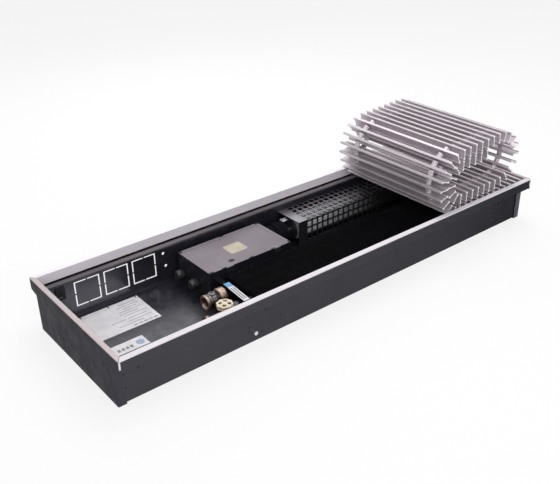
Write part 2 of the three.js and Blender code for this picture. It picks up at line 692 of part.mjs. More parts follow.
// dome-nutted cable gland through the left wall of the box
function cableGland(y) {
  const dome = new THREE.SphereGeometry(7.6, 14, 8).scale(0.9, 1, 1).translate(BOX_LEFT - 7, y, GLAND_Z);
  const nut = bar('x', 8.2, [BOX_LEFT - 7, BOX_LEFT - GAP], [y, GLAND_Z], 6);
  const neck = bar('x', GLAND_NECK, [BOX_LEFT - 8, BOX_LEFT + 9], [y, GLAND_Z], 12);
  const inlet = bar('x', GLAND_INLET, [BOX_LEFT - 20, BOX_LEFT + 12], [y, GLAND_Z], 12);
  return cut(join(dome, nut, neck), inlet);
}

function terminalBlock() {
  const front = 30;
  const left = -160;
  const ways = 6;
  const wayStep = 9;
  const along = [left, left + ways * wayStep + 2];
  const block = box(along, [front, front + 20], [FLOOR_TOP + GAP + SHEET + GAP, 22]);
  const notches = [];
  for (let i = 0; i < ways; i += 1) {
    const x = left + 2 + i * wayStep;
    notches.push(box([x, x + wayStep - 2], [front - 1, front + 7], [12, 18]));
    notches.push(box([x + 1, x + wayStep - 3], [front + 9, front + 14], [19, 23]));
  }
  return cut(block, ...notches);
}

add('electrical_box_base', boxBase(), blackSteel, electrics);
add('electrical_box_lid', boxLid(), lidSteel, electrics);
for (const [name, y] of GLAND_ROWS) add(name, cableGland(y), blackPlastic, electrics);
add('terminal_block', terminalBlock(), greenPlastic, electrics);

// earth stud through the front wall with its nut inside
function earthStud() {
  const stud = bar('y', EARTH_R, [-WALL_Y - 5, -WALL_Y + 12], [EARTH_X, EARTH_Z], 12);
  const head = bar('y', 5, [-WALL_Y + SHEET + GAP, -WALL_Y + SHEET + 5], [EARTH_X, EARTH_Z], 6);
  return join(stud, head);
}

add('earth_stud', earthStud(), greySteel, casing);

export default heater;
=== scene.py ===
import json
import math

import bmesh
import bpy
from mathutils import Euler, Matrix, Vector

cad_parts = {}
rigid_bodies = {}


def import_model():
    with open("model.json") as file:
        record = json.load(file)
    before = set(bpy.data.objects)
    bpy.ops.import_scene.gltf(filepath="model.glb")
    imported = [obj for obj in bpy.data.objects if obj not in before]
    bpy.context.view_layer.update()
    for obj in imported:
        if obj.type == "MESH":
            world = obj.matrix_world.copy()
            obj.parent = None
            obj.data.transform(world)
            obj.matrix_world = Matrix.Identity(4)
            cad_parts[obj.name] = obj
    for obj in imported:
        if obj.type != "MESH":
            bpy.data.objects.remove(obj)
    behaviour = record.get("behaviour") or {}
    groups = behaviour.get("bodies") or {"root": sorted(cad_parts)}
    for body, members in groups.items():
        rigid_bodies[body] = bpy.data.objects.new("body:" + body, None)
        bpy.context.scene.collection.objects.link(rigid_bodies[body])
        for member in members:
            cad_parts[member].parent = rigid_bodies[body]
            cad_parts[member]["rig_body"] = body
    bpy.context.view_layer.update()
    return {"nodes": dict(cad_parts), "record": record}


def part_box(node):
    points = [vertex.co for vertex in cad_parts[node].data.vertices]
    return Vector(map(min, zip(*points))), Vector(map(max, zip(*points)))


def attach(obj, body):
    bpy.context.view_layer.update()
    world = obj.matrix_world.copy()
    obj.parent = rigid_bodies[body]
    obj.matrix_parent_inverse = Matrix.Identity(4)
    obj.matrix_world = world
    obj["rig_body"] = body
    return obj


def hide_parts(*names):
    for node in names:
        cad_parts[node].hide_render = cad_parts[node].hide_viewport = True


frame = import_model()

NODES = frame["nodes"]
MM = 0.001


def edge(node, side):
    """A side of a node's box in mm; side is an axis and an end, such as "x-" or "z+"."""
    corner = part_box(node)["-+".index(side[1])]
    return round(corner["xyz".index(side[0])] / MM, 2)


def middle(node, axis):
    return (edge(node, axis + "-") + edge(node, axis + "+")) / 2


# ---- camera, light and floor ----
FOCAL_LENGTH = 50.15
SENSOR_WIDTH = 36
CAMERA_PLACE = (-0.70870, -0.81102, 0.62883)
CAMERA_TURN = (61.497, 0.695, -39.187)  # degrees about x, y and z
WHITE = (1, 1, 1, 1)
WORLD_STRENGTH = 0.42
FLOOR_COLOUR = (0.9, 0.9, 0.9, 1)
FLOOR_HALF = 10
FLOOR_GLOW = 0.8
LAMP_TARGET = (0, 0, 0.05)
LAMPS = (  # name, place, size and power
    ("overhead", (0.4, 0.2, 1.6), 1.0, 12),
    ("front_left", (-1.0, -1.9, 1.5), 2.2, 32),
    ("behind", (0.35, 0.95, 0.8), 0.8, 3.2),
)


def srgb(red, green, blue):
    """A colour as it is seen, each channel 0 to 255, in linear light."""
    def linear(value):
        value /= 255
        return value / 12.92 if value <= 0.04045 else ((value + 0.055) / 1.055) ** 2.4
    return linear(red), linear(green), linear(blue)


def add_camera():
    data = bpy.data.cameras.new("camera")
    data.sensor_fit = "HORIZONTAL"
    data.sensor_width = SENSOR_WIDTH
    data.lens = FOCAL_LENGTH
    data.clip_end = 50
    camera = bpy.data.objects.new("camera", data)
    turn = Euler([math.radians(angle) for angle in CAMERA_TURN])
    camera.matrix_world = Matrix.LocRotScale(Vector(CAMERA_PLACE), turn, None)
    bpy.context.scene.collection.objects.link(camera)
    bpy.context.scene.camera = camera


def add_lamp(name, place, size, power):
    data = bpy.data.lights.new(name, "AREA")
    data.shape = "SQUARE"
    data.size = size
    data.energy = power
    lamp = bpy.data.objects.new(name, data)
    lamp.location = place
    lamp.rotation_euler = (Vector(LAMP_TARGET) - Vector(place)).to_track_quat("-Z", "Y").to_euler()
    bpy.context.scene.collection.objects.link(lamp)


def seen_directly(tree):
    """A factor of 1 for the camera, and for reflections and refractions of the background."""
    path = tree.nodes.new("ShaderNodeLightPath")
    total = path.outputs["Is Camera Ray"]
    for name in ("Is Glossy Ray", "Is Transmission Ray"):
        either = tree.nodes.new("ShaderNodeMath")
        either.operation = "MAXIMUM"
        tree.links.new(total, either.inputs[0])
        tree.links.new(path.outputs[name], either.inputs[1])
        total = either.outputs[0]
    return total


def add_world():
    world = bpy.data.worlds.new("studio")
    bpy.context.scene.world = world
    world.use_nodes = True
    tree = world.node_tree
    background = tree.nodes["Background"]
    background.inputs["Color"].default_value = WHITE
    strength = tree.nodes.new("ShaderNodeMapRange")
    strength.inputs["To Min"].default_value = WORLD_STRENGTH
    strength.inputs["To Max"].default_value = 1.0
    tree.links.new(seen_directly(tree), strength.inputs["Value"])
    tree.links.new(strength.outputs["Result"], background.inputs["Strength"])


def add_floor():
    """Pale floor that keeps the object's shadow under a share of even white."""
    far = FLOOR_HALF
    mesh = bpy.data.meshes.new("floor")
    mesh.from_pydata([(-far, -far, 0), (far, -far, 0), (far, far, 0), (-far, far, 0)], [], [(0, 1, 2, 3)])
    floor = bpy.data.objects.new("floor", mesh)
    bpy.context.scene.collection.objects.link(floor)
    material = bpy.data.materials.new("pale_floor")
    material.use_nodes = True
    tree = material.node_tree
    matt = tree.nodes["Principled BSDF"]
    matt.inputs["Base Color"].default_value = FLOOR_COLOUR
    matt.inputs["Roughness"].default_value = 0.8
    glow = tree.nodes.new("ShaderNodeEmission")
    glow.inputs["Color"].default_value = WHITE
    share = tree.nodes.new("ShaderNodeMath")
    share.operation = "MULTIPLY"
    share.inputs[1].default_value = FLOOR_GLOW
    tree.links.new(seen_directly(tree), share.inputs[0])
    mixed = tree.nodes.new("ShaderNodeMixShader")
    tree.links.new(share.outputs[0], mixed.inputs[0])
    tree.links.new(matt.outputs[0], mixed.inputs[1])
    tree.links.new(glow.outputs[0], mixed.inputs[2])
    tree.links.new(mixed.outputs[0], tree.nodes["Material Output"].inputs["Surface"])
    mesh.materials.append(material)


def add_surroundings():
    add_world()
    add_floor()
    for lamp in LAMPS:
        add_lamp(*lamp)


# ---- materials ----
class Surface:
    """A Principled material with procedural detail in millimetres of the object."""

    def __init__(self, name, colour, roughness, metallic=0.0):
        self.material = bpy.data.materials.new(name)
        self.material.use_nodes = True
        self.tree = self.material.node_tree
        self.shader = self.tree.nodes["Principled BSDF"]
        self.set("Base Color", (*colour, 1))
        self.set("Roughness", roughness)
        self.set("Metallic", metallic)
        self.place = self.tree.nodes.new("ShaderNodeTexCoord").outputs["Object"]
        self.material.diffuse_color = (*colour, 1)

    def set(self, socket, value):
        if isinstance(value, bpy.types.NodeSocket):
            self.tree.links.new(value, self.shader.inputs[socket])
        else:
            self.shader.inputs[socket].default_value = value

    def node(self, kind, inputs, **settings):
        node = self.tree.nodes.new(kind)
        for key, value in settings.items():
            setattr(node, key, value)
        for key, value in inputs.items():
            if isinstance(value, bpy.types.NodeSocket):
                self.tree.links.new(value, node.inputs[key])
            else:
                node.inputs[key].default_value = value
        return node

    def grain(self, size, detail=2.0, stretch=(1, 1, 1)):
        """Noise whose lumps are about size mm, longer where stretch is above 1."""
        scale = [1000 / (size * part) for part in stretch]
        mapped = self.node("ShaderNodeMapping", {"Vector": self.place, "Scale": scale})
        inputs = {"Vector": mapped.outputs[0], "Scale": 1.0, "Detail": detail}
        return self.node("ShaderNodeTexNoise", inputs).outputs[0]

    def maths(self, operation, first, second=0.0):
        return self.node("ShaderNodeMath", {0: first, 1: second}, operation=operation).outputs[0]

    def vector_maths(self, operation, first, second=(0, 0, 0)):
        return self.node("ShaderNodeVectorMath", {0: first, 1: second}, operation=operation).outputs

    def span(self, source, low, high, new_low, new_high):
        inputs = {"Value": source, "From Min": low, "From Max": high, "To Min": new_low, "To Max": new_high}
        return self.node("ShaderNodeMapRange", inputs).outputs[0]

    def patches(self, size, detail=3, low=0.3, high=0.7, most=1.0, stretch=(1, 1, 1)):
        """Soft patches of about size mm, from 0 to most."""
        return self.span(self.grain(size, detail, stretch), low, high, 0, most)

    def uneven(self, size, detail, value, less, more):
        """A value that wanders by less below it and more above it."""
        return self.span(self.grain(size, detail), 0.3, 0.7, value - less, value + more)

    def blend(self, factor, first, second):
        first, second = ((*c, 1) if isinstance(c, tuple) else c for c in (first, second))
        return self.node("ShaderNodeMix", {0: factor, 6: first, 7: second}, data_type="RGBA").outputs[2]

    def coordinate(self, axis):
        return self.node("ShaderNodeSeparateXYZ", {0: self.place}).outputs[axis]

    def facing(self, axis):
        """How far the surface looks along an axis, 0 to 1, either way."""
        geometry = self.node("ShaderNodeNewGeometry", {})
        normal = self.node("ShaderNodeSeparateXYZ", {0: geometry.outputs["True Normal"]})
        return self.maths("ABSOLUTE", normal.outputs[axis])

    def relief(self, height, depth):
        """Bump from a height of 0 to 1 over depth mm."""
        bump = self.node("ShaderNodeBump", {"Height": height, "Distance": depth * MM})
        self.set("Normal", bump.outputs[0])


COAT_TINT = (0.9, 0.9, 1.0, 1)
COAT_SPECKS = srgb(90, 92, 98)


def coat(name, colour, roughness, orange_peel, gloss):
    """Gloss and orange peel of a coat of paint, before its colour."""
    surface = Surface(name, colour, roughness)
    surface.set("Specular IOR Level", gloss)
    surface.set("Specular Tint", COAT_TINT)
    surface.set("Roughness", surface.uneven(14, 2, roughness, 0.07, 0.07))
    surface.relief(surface.grain(1.1, 2), orange_peel)
    return surface


def powder_coat(name, low, high, roughness, orange_peel=0.05, gloss=0.5):
    surface = coat(name, high, roughness, orange_peel, gloss)
    colour = surface.blend(surface.patches(60), low, high)
    specks = surface.patches(1.3, 1, 0.70, 0.78, 0.35)
    surface.set("Base Color", surface.blend(specks, colour, COAT_SPECKS))
    return surface


def trough_coat_painted_sheen():
    """Powder coat with a painted sheen that fades from the left end toward the right end and is raised on
    the rear wall, standing in for how the light falls.
    """
    surface = powder_coat("trough_steel", srgb(24, 24, 31), srgb(32, 31, 39), 0.3, 0.03)
    # Painted sheen: the specular level falls along X and rises on the rear wall in place of the light
    # falling there.
    along = surface.span(surface.coordinate("X"), -0.3, 0.35, 0.55, 0.04)
    rear = surface.span(surface.coordinate("Y"), 0.1, 0.106, 1.0, 3.0)
    surface.set("Specular IOR Level", surface.maths("MULTIPLY", along, rear))
    return surface.material


def end_plate_coat():
    """Powder coat with upright streaks, with little sheen on the flat of the end plate and more where it
    faces along y.
    """
    surface = coat("end_plate_steel", srgb(36, 35, 43), 0.42, 0.04, 0.5)
    colour = surface.blend(surface.patches(60), srgb(29, 28, 38), srgb(38, 36, 48))
    streaks = surface.patches(2.5, 2, 0.35, 0.65, 0.6, (1, 1, 30))
    surface.set("Base Color", surface.blend(streaks, colour, srgb(24, 23, 32)))
    surface.set("Specular IOR Level", surface.span(surface.facing("Y"), 0.3, 0.7, 0.05, 0.5))
    return surface.material


def guard_coat():
    """Lacquered coat whose upper sheet is paler as painted light, and which darkens and loses its coat
    toward the right end as a painted shadow of the grille roll.
    """
    surface = coat("guard_steel", srgb(40, 38, 41), 0.28, 0.02, 1.0)
    painted_light_and_shadow_top = surface.blend(surface.patches(40), srgb(62, 55, 61), srgb(74, 66, 72))
    # Painted shadow of the grille roll: darker and less glossy toward the right end.
    painted_roll_shadow = surface.span(surface.coordinate("X"), 0.08, 0.24, 0, 1)
    painted_light_and_shadow_top = surface.blend(painted_roll_shadow, painted_light_and_shadow_top, srgb(24, 24, 27))
    # Painted light: the upper faces are paler than the folded sides.
    top_face_painted_light = surface.span(surface.facing("Z"), 0.5, 0.9, 0, 1)
    surface.set("Base Color", surface.blend(top_face_painted_light, srgb(32, 31, 34), painted_light_and_shadow_top))
    surface.set("Coat Weight", surface.span(painted_roll_shadow, 0, 1, 1.0, 0.1))
    surface.set("Coat Roughness", 0.25)
    return surface.material


def coated_lid():
    """Coat painted grey on the upper face of the lid as a painted sheen, black on its folded sides."""
    surface = Surface("lid_steel", srgb(138, 130, 137), 0.5)
    surface.set("Specular IOR Level", 0.3)
    # Painted sheen: the grey of the upper face stands in for light on it.
    top = surface.blend(surface.patches(55), srgb(112, 105, 112), srgb(128, 120, 127))
    top_face_painted_light = surface.span(surface.facing("Z"), 0.5, 0.9, 0, 1)
    surface.set("Base Color", surface.blend(top_face_painted_light, srgb(34, 33, 38), top))
    surface.set("Roughness", surface.uneven(14, 2, 0.5, 0.06, 0.06))
    surface.relief(surface.grain(1.1, 2), 0.03)
    return surface.material


def fan_metal():
    """Bare aluminium blades, darkened toward the right end as a painted shadow."""
    surface = Surface("fan_aluminium", srgb(226, 226, 229), 0.5)
    clean = surface.blend(surface.patches(9, 3, 0.35, 0.65), srgb(236, 236, 239), srgb(216, 216, 220))
    # Painted shadow: the blades darken along X toward the right end.
    dust_and_painted_shadow = surface.span(surface.coordinate("X"), 0.07, 0.22, 0, 1)
    surface.set("Base Color", surface.blend(dust_and_painted_shadow, clean, srgb(44, 44, 47)))
    surface.set("Roughness", surface.uneven(2, 2, 0.5, 0.06, 0.08))
    return surface.material


def brushed(name, colour, dark, axis, roughness, metallic, cut_colour=None):
    """Metal with fine lines along an axis; cut_colour is for faces sawn across it."""
    surface = Surface(name, colour, roughness, metallic)
    stretch = [1, 1, 1]
    stretch["XYZ".index(axis)] = 60
    lines = surface.grain(0.7, 3, stretch)
    tone = surface.blend(surface.span(lines, 0.35, 0.65, 0, 1), dark, colour)
    tone = surface.blend(surface.patches(45, 2, most=0.6), tone, colour)
    rough = surface.span(lines, 0.3, 0.7, roughness - 0.08, roughness + 0.1)
    if cut_colour:
        sawn = surface.span(surface.facing(axis), 0.9, 0.95, 0, 1)
        tone = surface.blend(sawn, tone, cut_colour)
        rough = surface.node("ShaderNodeMix", {0: sawn, 2: rough, 3: 0.6}).outputs[0]
        surface.set("Metallic", surface.span(sawn, 0, 1, metallic, 0.3))
    surface.set("Base Color", tone)
    surface.set("Roughness", rough)
    surface.relief(lines, 0.02)
    return surface.material


def turned(name, colour, dark, roughness, metallic=1.0):
    """Turned or cast metal: fine marks, dull patches and small stains."""
    surface = Surface(name, colour, roughness, metallic)
    stains = surface.patches(5, 4, 0.42, 0.62, 0.75)
    surface.set("Base Color", surface.blend(stains, colour, dark))
    surface.set("Roughness", surface.uneven(3, 3, roughness, 0.08, 0.15))
    surface.relief(surface.grain(0.5, 2, (0.5, 6, 6)), 0.04)
    return surface.material


def moulded(name, colour, shade, roughness, grain_depth=0.03):
    surface = Surface(name, colour, roughness)
    surface.set("Base Color", surface.blend(surface.patches(9, 3, 0.35, 0.65), colour, shade))
    surface.set("Roughness", surface.uneven(2, 2, roughness, 0.06, 0.08))
    surface.relief(surface.grain(0.6, 2), grain_depth)
    return surface.material


CAP_X = middle("supply_valve_cap", "x")
CAP_Y = middle("supply_valve_cap", "y")
CAP_LOW = edge("supply_valve_cap", "z-")
CAP_TOP = edge("supply_valve_cap", "z+")


def hand_cap_plastic():
    """Cream plastic, painted darker brown in the sunk fields round the hub as painted shade."""
    surface = Surface("cream_plastic", srgb(228, 214, 192), 0.42)
    clean = surface.blend(surface.patches(9, 3, 0.35, 0.65), srgb(232, 218, 196), srgb(218, 200, 174))
    across = surface.vector_maths("ADD", surface.place, (-CAP_X * MM, -CAP_Y * MM, 0))[0]
    flat = surface.vector_maths("MULTIPLY", across, (1, 1, 0))[0]
    away = surface.vector_maths("LENGTH", flat)["Value"]
    inside = surface.span(away, 0.0092, 0.0096, 1, 0)
    sunk = surface.span(surface.coordinate("Z"), (CAP_TOP - 2.2) * MM, (CAP_TOP - 0.8) * MM, 1, 0)
    # Painted shade in the sunk fields round the hub.
    recess_shade = surface.maths("MULTIPLY", inside, sunk)
    surface.set("Base Color", surface.blend(recess_shade, clean, srgb(112, 92, 76)))
    surface.relief(surface.grain(0.6, 2), 0.03)
    return surface.material


def ribbed_rubber():
    """Extruded strip with fine ribs along its length and chalky patches."""
    rib_pitch = 1.6 * MM
    surface = Surface("rubber_strip", srgb(98, 92, 97), 0.7)
    rib = surface.maths("SINE", surface.maths("MULTIPLY", surface.coordinate("Y"), 2 * math.pi / rib_pitch))
    dust_and_painted_shadow = surface.patches(30, 3, 0.35, 0.65, 1.0, (6, 1, 1))
    surface.set("Base Color", surface.blend(dust_and_painted_shadow, srgb(88, 84, 88), srgb(116, 108, 112)))
    surface.relief(surface.span(rib, -1, 1, 0, 1), 0.25)
    return surface.material


def zinc(name, colour, dark):
    """Zinc plating with its pale spangle."""
    surface = Surface(name, colour, 0.35, 1.0)
    spangle = surface.node("ShaderNodeTexVoronoi", {"Vector": surface.place, "Scale": 320.0})
    cell = surface.node("ShaderNodeSeparateXYZ", {0: spangle.outputs["Color"]}).outputs[0]
    surface.set("Base Color", surface.blend(cell, dark, colour))
    surface.set("Roughness", surface.span(cell, 0, 1, 0.25, 0.45))
    surface.relief(surface.grain(1.5, 2), 0.03)
    return surface.material


def label_film(name, colour, shade):
    """Film: nearly flat, with slight waves and soiled patches."""
    surface = Surface(name, colour, 0.35)
    surface.set("Base Color", surface.blend(surface.patches(16, 3, 0.4, 0.7), colour, shade))
    surface.set("Roughness", surface.span(surface.grain(5, 2), 0.3, 0.7, 0.28, 0.45))
    surface.relief(surface.grain(12, 1), 0.12)
    return surface.material


BRIGHT_CUT = srgb(238, 236, 240)
MATERIALS = {
    "black_steel": powder_coat("black_steel", srgb(24, 24, 31), srgb(32, 31, 39), 0.3, 0.03).material,
    "lid_steel": coated_lid(),
    "anodised_aluminium": brushed(
        "anodised_aluminium", srgb(226, 221, 226), srgb(208, 202, 208), "X", 0.6, 0.05),
    "grille_aluminium": brushed(
        "grille_aluminium", srgb(206, 198, 203), srgb(186, 177, 184), "Y", 0.48, 0.55, BRIGHT_CUT),
    "rubber_strip": ribbed_rubber(),
    "fin_coating": powder_coat("fin_coating", srgb(10, 11, 13), srgb(17, 17, 21), 0.5, 0.02, 0.15).material,
    "dark_copper": turned("dark_copper", srgb(58, 46, 40), srgb(30, 26, 25), 0.45, 0.8),
    "nickel_brass": turned("nickel_brass", srgb(116, 113, 114), srgb(58, 56, 58), 0.28),
    "bronze_brass": turned("bronze_brass", srgb(164, 145, 133), srgb(104, 86, 77), 0.36),
    "cream_plastic": hand_cap_plastic(),
    "black_plastic": moulded("black_plastic", srgb(34, 34, 37), srgb(46, 45, 48), 0.38),
    "zinc_steel": zinc("zinc_steel", srgb(190, 192, 198), srgb(140, 142, 150)),
    "green_plastic": moulded("green_plastic", srgb(112, 143, 120), srgb(98, 128, 108), 0.45),
    "fan_aluminium": fan_metal(),
}
# The frame rails are one anodised aluminium: the darker end rails are painted shade, the paler rear rail
# painted light.
END_RAILS_PAINTED_SHADE = brushed("anodised_aluminium_across", srgb(186, 175, 177), srgb(166, 155, 158), "Y", 0.45, 0.3)
REAR_RAIL_PAINTED_LIGHT = brushed("anodised_aluminium_rear", srgb(238, 233, 240), srgb(224, 218, 226), "X", 0.5, 0.1)
END_STEEL = end_plate_coat()
GUARD_STEEL = guard_coat()
MATT_STEEL = powder_coat("matt_steel", srgb(18, 18, 21), srgb(24, 24, 28), 0.6, 0.03, 0.0).material
# Painted highlight: a paler zinc for the earth stud and the rivet, standing in for their glint.
ZINC_PAINTED_HIGHLIGHT = zinc("zinc_painted_highlight", srgb(238, 239, 242), srgb(212, 213, 218))
TAG_FILM = label_film("tag_film", srgb(212, 210, 218), srgb(200, 198, 206))
WHITE_FILM = label_film("white_film", srgb(232, 229, 233), srgb(218, 215, 220))
CREAM_FILM = label_film("cream_film", srgb(176, 165, 142), srgb(160, 149, 128))
BLUE_FILM = label_film("blue_film", srgb(64, 150, 196), srgb(48, 132, 180))
PALE_BLUE_FILM = label_film("pale_blue_film", srgb(150, 172, 204), srgb(132, 156, 192))
GROMMET_RUBBER = moulded("grommet_rubber", srgb(18, 20, 26), srgb(26, 28, 34), 0.6, 0.02)
GREY_INK = moulded("grey_ink", srgb(128, 128, 134), srgb(146, 146, 152), 0.5, 0.01)
DARK_INK = moulded("dark_ink", srgb(40, 40, 52), srgb(56, 54, 64), 0.5, 0.01)
SCORED_STEEL = moulded("scored_steel", srgb(52, 52, 58), srgb(66, 66, 73), 0.5, 0.02)
# Painted shade for the creases of the lid's folds.
LID_FOLD_SHADE = moulded("lid_fold_shade", srgb(84, 79, 84), srgb(98, 92, 97), 0.5, 0.02)
SHADOW_GAP = moulded("shadow_gap", srgb(9, 9, 11), srgb(14, 14, 16), 0.7, 0.02)
# Among these, the end and rear rail colours and the earth stud's pale zinc are painted shade and painted
# light.
NODE_MATERIALS = {  # nodes whose finish differs from that of their slot
    "frame_rail_left": END_RAILS_PAINTED_SHADE, "frame_rail_right": END_RAILS_PAINTED_SHADE, "frame_rail_rear": REAR_RAIL_PAINTED_LIGHT,
    "end_plate_left": END_STEEL, "end_plate_right": END_STEEL, "trough": trough_coat_painted_sheen(),
    "exchanger_bracket_left": MATT_STEEL, "fan_motor": MATT_STEEL, "motor_bracket": MATT_STEEL,
    "fan_housing": MATT_STEEL, "earth_stud": ZINC_PAINTED_HIGHLIGHT,
}


# ---- mesh pieces, in millimetres ----
ORDER = {"x": (2, 0, 1), "y": (0, 2, 1), "z": (0, 1, 2)}


def point(axis, u, v, along):
    """A point in metres: u and v are the two other axes in order, along is on the axis."""
    values = (u, v, along)
    return Vector([values[i] for i in ORDER[axis]]) * MM


def angles(count):
    """Evenly spaced angles round a full turn."""
    return [2 * math.pi * i / count for i in range(count)]


def plain_round(angle, along):
    return 1.0


class Piece:
    """One mesh object built from simple parts, in the row frame."""

    def __init__(self):
        self.bm = bmesh.new()

    def loft(self, rings):
        """Faces between rings of points, each with the same count, and a cap at each end."""
        rows = [[self.bm.verts.new(p) for p in ring] for ring in rings]
        count = len(rows[0])
        for first, second in zip(rows, rows[1:]):
            for i in range(count):
                j = (i + 1) % count
                self.bm.faces.new((first[i], first[j], second[j], second[i]))
        self.bm.faces.new(rows[0][::-1])
        self.bm.faces.new(rows[-1])

    def prism(self, axis, outline, start, end):
        self.loft([[point(axis, u, v, along) for u, v in outline] for along in (start, end)])

    def box(self, x, y, z):
        self.prism("z", [(x[0], y[0]), (x[1], y[0]), (x[1], y[1]), (x[0], y[1])], z[0], z[1])

    def lathe(self, axis, centre, profile, sides=40, shape=plain_round):
        """A profile of (along, r) turned about an axis; shape scales the radius round the turn."""
        rings = []
        for along, r in profile:
            ring = []
            for angle in angles(sides):
                reach = max(r, 0.01) * shape(angle, along)
                u = centre[0] + reach * math.cos(angle)
                v = centre[1] + reach * math.sin(angle)
                ring.append(point(axis, u, v, along))
            rings.append(ring)
        self.loft(rings)

    def frame(self, axis, outer, inner, start, end):
        """A flat ring between two outlines of the same count."""
        rows = [[self.bm.verts.new(point(axis, u, v, along)) for u, v in shape]
                for shape, along in ((outer, start), (outer, end), (inner, end), (inner, start))]
        count = len(outer)
        for first, second in zip(rows, rows[1:] + rows[:1]):
            for i in range(count):
                j = (i + 1) % count
                self.bm.faces.new((first[i], first[j], second[j], second[i]))

    def place(self, name, body, slot, material=None, bevel=0.0, smooth=35, replaces=()):
        bmesh.ops.recalc_face_normals(self.bm, faces=self.bm.faces)
        mesh = bpy.data.meshes.new(name)
        self.bm.to_mesh(mesh)
        self.bm.free()
        mesh.materials.append(material or MATERIALS[slot])
        mesh.polygons.foreach_set("use_smooth", [True] * len(mesh.polygons))
        mesh.set_sharp_from_angle(angle=math.radians(smooth))
        piece = bpy.data.objects.new(name, mesh)
        bpy.context.scene.collection.objects.link(piece)
        if bevel:
            add_rounding(piece, bevel, 40)
        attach(piece, body)
        if replaces:
            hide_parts(*replaces)


def add_rounding(piece, width, sharpest):
    """Rounds the edges that turn by more than sharpest degrees."""
    modifier = piece.modifiers.new("rounding", "BEVEL")
    modifier.width = width * MM
    modifier.segments = 2
    modifier.limit_method = "ANGLE"
    modifier.angle_limit = math.radians(sharpest)


def rounded_rectangle(u, v, width, height, radius, steps=4):
    corners = ((1, -1, -90), (1, 1, 0), (-1, 1, 90), (-1, -1, 180))
    points = []
    for side_u, side_v, start in corners:
        for k in range(steps + 1):
            angle = math.radians(start + k * 90 / steps)
            points.append((u + side_u * (width / 2 - radius) + radius * math.cos(angle),
                           v + side_v * (height / 2 - radius) + radius * math.sin(angle)))
    return points


# ---- CAD nodes that keep their shape ----
ROUNDING = {  # width of the rounded edges
    "trough": 0.3, "end_plate_left": 0.35, "end_plate_right": 0.35, "frame_rail_front": 0.3,
    "frame_rail_rear": 0.3, "frame_rail_left": 0.3, "frame_rail_right": 0.3,
    "ledge_strip_front": 0.4, "ledge_strip_rear": 0.4, "electrical_box_base": 0.8,
    "electrical_box_lid": 0.3, "exchanger_bracket_left": 0.25, "exchanger_bracket_right": 0.25,
    "fan_motor": 0.8, "motor_bracket": 0.3, "bearing_bracket": 0.4, "terminal_block": 0.3,
    "earth_stud": 0.3, "return_valve_spindle": 0.3,
}


def dress_nodes():
    slots = {part["node"]: part["material_slot"] for part in frame["record"]["subparts"]}
    for name, node in NODES.items():
        node.data.materials.clear()
        node.data.materials.append(NODE_MATERIALS.get(name, MATERIALS[slots[name]]))
        if name in ROUNDING:
            add_rounding(node, ROUNDING[name], 50)


# ---- roll-up grille ----
PITCH = 14.5
LAYERS = [  # name, lamellas, turn in degrees and how unevenly the bends share it
    ("grille_bottom_layer", 12, 0, 0), ("outer_curl", 9, 176.8, -0.14), ("grille_top_layer", 7, 0, 0),
    ("right_curl", 9, 183.2, 0.25), ("grille_middle_layer", 7, 0, 0), ("inner_curl", 5, 176.8, -0.2),
    ("grille_inner_layer", 5, 0, 0),
]
LAMELLA_HALF = edge("grille_bottom_layer", "y+")
WEB_HALF = 0.75
FLANGE_HALF = 2.2
HEIGHT_HALF = 8.5
BUSH_Y = 82
BUSH_REACH = 13.6
LAST_BUSH_REACH = 11.5  # the last bush of a layer stops short of the next body


def rolled_chain():
    """Places of the lamellas along the rolled grille: x, z and heading."""
    bends = []
    for _, count, turn, spread in LAYERS:
        if turn:
            steps = [2 * math.pi * (k + 0.5) / (count + 1) for k in range(count + 1)]
            weights = [1 - spread * math.cos(step) for step in steps]
            bends += [turn * weight / sum(weights) for weight in weights]
        else:
            bends += [0] * (count - 1)
    x = edge("grille_bottom_layer", "x+") - FLANGE_HALF
    z = edge("grille_bottom_layer", "z+") - HEIGHT_HALF
    heading = math.pi
    places = [(x, z, heading)]
    for bend in bends:
        turned_to = heading - math.radians(bend)
        x += PITCH / 2 * (math.cos(heading) + math.cos(turned_to))
        z += PITCH / 2 * (math.sin(heading) + math.sin(turned_to))
        heading = turned_to
        places.append((x, z, heading))
    return places


def lamella_outline():
    """Half round edges and fillets between the web and the two flanges."""
    quarter = [(WEB_HALF, 0.0), (WEB_HALF, 5.7), (0.9, 6.3), (1.3, 6.55), (1.95, 6.6), (FLANGE_HALF, 6.85),
               (FLANGE_HALF, 8.15), (1.85, HEIGHT_HALF)]
    right = [(u, -v) for u, v in reversed(quarter[1:])] + quarter
    return right + [(-u, -v) for u, v in right]


def add_lamella(piece, place, bush_reach):
    """One lamella, and its two spacer bushes where bush_reach isn't 0."""
    x, z, heading = place

    def at(u, y, v):
        return Vector((x + u * math.cos(heading) - v * math.sin(heading), y,
                       z + u * math.sin(heading) + v * math.cos(heading))) * MM

    chamfer = 0.25
    outline = lamella_outline()
    sawn_end = [(u if abs(u) < 1 else 0.91 * u, 0.985 * v) for u, v in outline]
    sections = ((-LAMELLA_HALF, sawn_end), (-LAMELLA_HALF + chamfer, outline),
                (LAMELLA_HALF - chamfer, outline), (LAMELLA_HALF, sawn_end))
    piece.loft([[at(u, y, v) for u, v in section] for y, section in sections])
    if not bush_reach:
        return
    profile = [(0.9, 2.4), (0.9, 4.1), (1.3, 4.6), (3.4, 4.6), (3.8, 4.3), (bush_reach - 3.6, 4.3),
               (bush_reach - 3.2, 4.6), (bush_reach - 0.4, 4.6), (bush_reach, 4.1), (bush_reach, 1.2)]
    for y in (-BUSH_Y, BUSH_Y):
        piece.loft([[at(along, y + r * math.cos(a), r * math.sin(a)) for a in angles(16)]
                    for along, r in profile])


